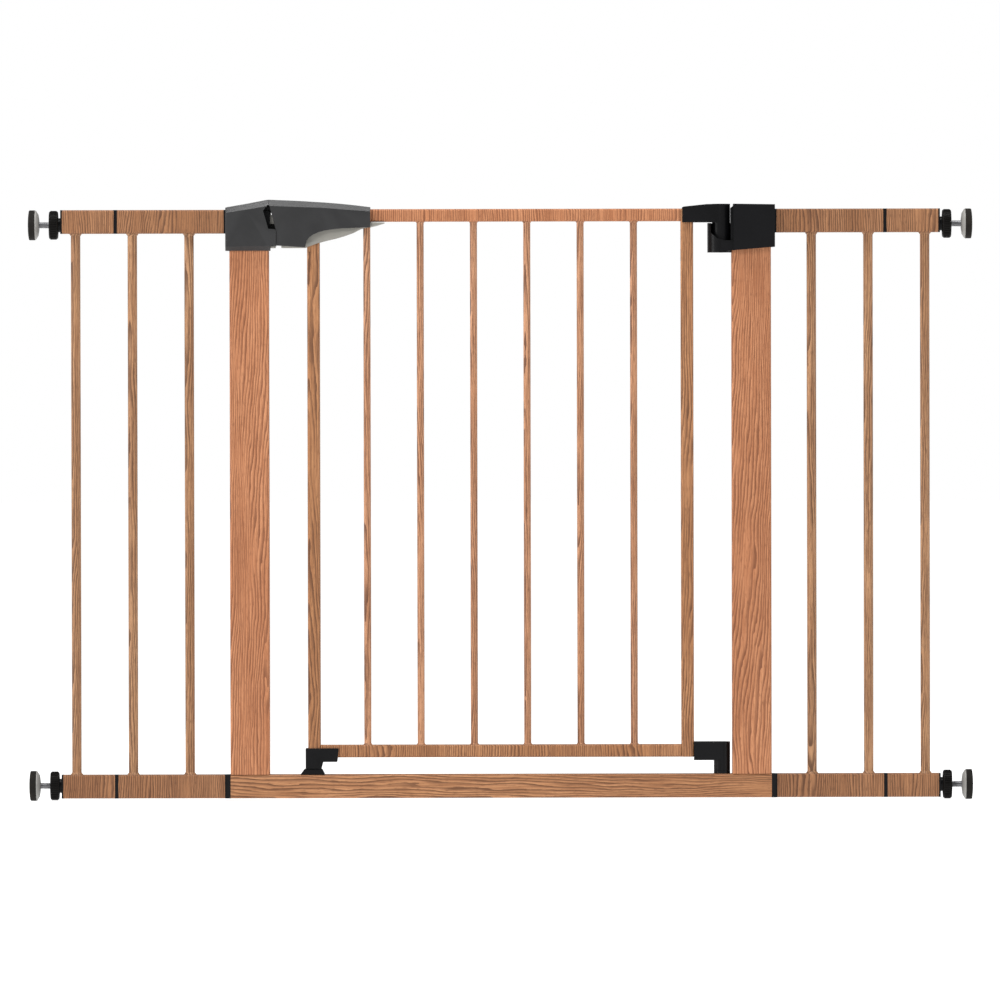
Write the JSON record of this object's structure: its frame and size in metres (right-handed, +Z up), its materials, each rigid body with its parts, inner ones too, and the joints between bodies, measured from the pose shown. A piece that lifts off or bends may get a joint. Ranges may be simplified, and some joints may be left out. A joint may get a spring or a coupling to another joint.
{
  "type": "safety gate",
  "caption": "Pressure-fitted metal safety gate with a lift-and-swing barred door, squeeze latch, extension frames and four screw spindles with wall pads.",
  "frame": {"origin": "on the floor plane under the middle of the doorway, midway through the gate's depth", "axes": "+X along the gate's width towards the hinge side, +Z up, front face towards -Y"},
  "size_m": [1.199, 0.039, 0.7628],
  "materials": {
    "woodgrain_steel": "wood-grain printed coating on steel tube, low satin",
    "latch_plastic": "fine-textured dark grey moulded plastic",
    "hinge_plastic": "black moulded plastic, satin",
    "lever_plastic": "light grey moulded plastic, satin",
    "wheel_plastic": "black moulded plastic with a ribbed rim",
    "pad_rubber": "dark rubber face on a black pad",
    "bright_steel": "zinc plated",
    "spring_steel": "drawn wire",
    "screw_steel": "dark zinc plated, cross recess",
    "strike_steel": "black coated"
  },
  "bodies": {
    "door": {"closer_spring": "spring_steel", "door_bars": "woodgrain_steel", "door_bottom_rail": "woodgrain_steel", "door_foot": "hinge_plastic", "door_stile_left": "woodgrain_steel", "door_stile_right": "woodgrain_steel", "door_top_rail": "woodgrain_steel", "handle_front": "latch_plastic", "handle_rear": "latch_plastic", "handle_screws": "screw_steel", "lever_pivot_pin": "bright_steel", "lever_spring": "spring_steel", "lower_hinge_arm": "hinge_plastic", "upper_hinge_arm": "hinge_plastic"},
    "frame": {"extension_link_pins": "bright_steel", "floor_catch": "hinge_plastic", "hinge_housing": "hinge_plastic", "housing_screws": "screw_steel", "latch_housing_front": "latch_plastic", "latch_housing_rear": "latch_plastic", "latch_trim": "lever_plastic", "left_narrow_bars": "woodgrain_steel", "left_narrow_bottom_rail": "woodgrain_steel", "left_narrow_end_plugs": "hinge_plastic", "left_narrow_top_rail": "woodgrain_steel", "left_wide_bars": "woodgrain_steel", "left_wide_bottom_rail": "woodgrain_steel", "left_wide_end_plugs": "hinge_plastic", "left_wide_top_rail": "woodgrain_steel", "lower_hinge_seat": "hinge_plastic", "post_left": "woodgrain_steel", "post_right": "woodgrain_steel", "right_narrow_bars": "woodgrain_steel", "right_narrow_bottom_rail": "woodgrain_steel", "right_narrow_end_plugs": "hinge_plastic", "right_narrow_top_rail": "woodgrain_steel", "right_wide_bars": "woodgrain_steel", "right_wide_bottom_rail": "woodgrain_steel", "right_wide_end_plugs": "hinge_plastic", "right_wide_top_rail": "woodgrain_steel", "strike_plate": "strike_steel", "threshold_end_plugs": "hinge_plastic", "threshold_rail": "woodgrain_steel"},
    "hinge_pins": {"hinge_pin_lower": "bright_steel", "hinge_pin_upper": "bright_steel"},
    "bolt": {"latch_bolt": "lever_plastic"},
    "left_bottom_wheel": {"left_bottom_adjuster_wheel": "wheel_plastic"},
    "left_bottom_spindle": {"left_bottom_spindle_rod": "bright_steel", "left_bottom_wall_pad": "pad_rubber"},
    "left_top_wheel": {"left_top_adjuster_wheel": "wheel_plastic"},
    "left_top_spindle": {"left_top_spindle_rod": "bright_steel", "left_top_wall_pad": "pad_rubber"},
    "lever": {"release_lever": "lever_plastic"},
    "right_bottom_wheel": {"right_bottom_adjuster_wheel": "wheel_plastic"},
    "right_bottom_spindle": {"right_bottom_spindle_rod": "bright_steel", "right_bottom_wall_pad": "pad_rubber"},
    "right_top_wheel": {"right_top_adjuster_wheel": "wheel_plastic"},
    "right_top_spindle": {"right_top_spindle_rod": "bright_steel", "right_top_wall_pad": "pad_rubber"}
  },
  "joints": [
    {"name": "door_lift", "type": "slide", "parent": "frame", "child": "hinge_pins", "axis": [0, 0, 1], "range_m": [0, 0.01]},
    {"name": "door_swing", "type": "hinge", "parent": "hinge_pins", "child": "door", "pos_m": [0.2805, 0, 0], "axis": [0, 0, 1], "range_deg": [-90, 90], "stiffness_Nm_per_rad": 0.3},
    {"name": "lever_squeeze", "type": "hinge", "parent": "door", "child": "lever", "pos_m": [-0.178, 0, 0.731], "axis": [0, 1, 0], "range_deg": [0, 5], "stiffness_Nm_per_rad": 1.5, "springref_deg": -6.88},
    {"name": "latch_slide", "type": "slide", "parent": "door", "child": "bolt", "axis": [1, 0, 0], "range_m": [0, 0.009]},
    {"name": "left_top_wheel_turn", "type": "hinge", "parent": "frame", "child": "left_top_wheel", "pos_m": [-0.5668, 0, 0.731], "axis": [-1, 0, 0], "range_deg": [-5761, 2593]},
    {"name": "left_top_spindle_travel", "type": "slide", "parent": "frame", "child": "left_top_spindle", "axis": [-1, 0, 0], "range_m": [-0.009, 0.02]},
    {"name": "left_bottom_wheel_turn", "type": "hinge", "parent": "frame", "child": "left_bottom_wheel", "pos_m": [-0.5668, 0, 0.019], "axis": [-1, 0, 0], "range_deg": [-5761, 2593]},
    {"name": "left_bottom_spindle_travel", "type": "slide", "parent": "frame", "child": "left_bottom_spindle", "axis": [-1, 0, 0], "range_m": [-0.009, 0.02]},
    {"name": "right_top_wheel_turn", "type": "hinge", "parent": "frame", "child": "right_top_wheel", "pos_m": [0.5668, 0, 0.731], "axis": [1, 0, 0], "range_deg": [-5761, 2593]},
    {"name": "right_top_spindle_travel", "type": "slide", "parent": "frame", "child": "right_top_spindle", "axis": [1, 0, 0], "range_m": [-0.009, 0.02]},
    {"name": "right_bottom_wheel_turn", "type": "hinge", "parent": "frame", "child": "right_bottom_wheel", "pos_m": [0.5668, 0, 0.019], "axis": [1, 0, 0], "range_deg": [-5761, 2593]},
    {"name": "right_bottom_spindle_travel", "type": "slide", "parent": "frame", "child": "right_bottom_spindle", "axis": [1, 0, 0], "range_m": [-0.009, 0.02]}
  ],
  "couplings": [
    {"joint": "latch_slide", "follows": "lever_squeeze", "m_per_rad": 0.1031},
    {"joint": "left_top_wheel_turn", "follows": "left_top_spindle_travel", "rad_per_m": -5026.5},
    {"joint": "left_bottom_wheel_turn", "follows": "left_bottom_spindle_travel", "rad_per_m": -5026.5},
    {"joint": "right_top_wheel_turn", "follows": "right_top_spindle_travel", "rad_per_m": -5026.5},
    {"joint": "right_bottom_wheel_turn", "follows": "right_bottom_spindle_travel", "rad_per_m": -5026.5}
  ]
}
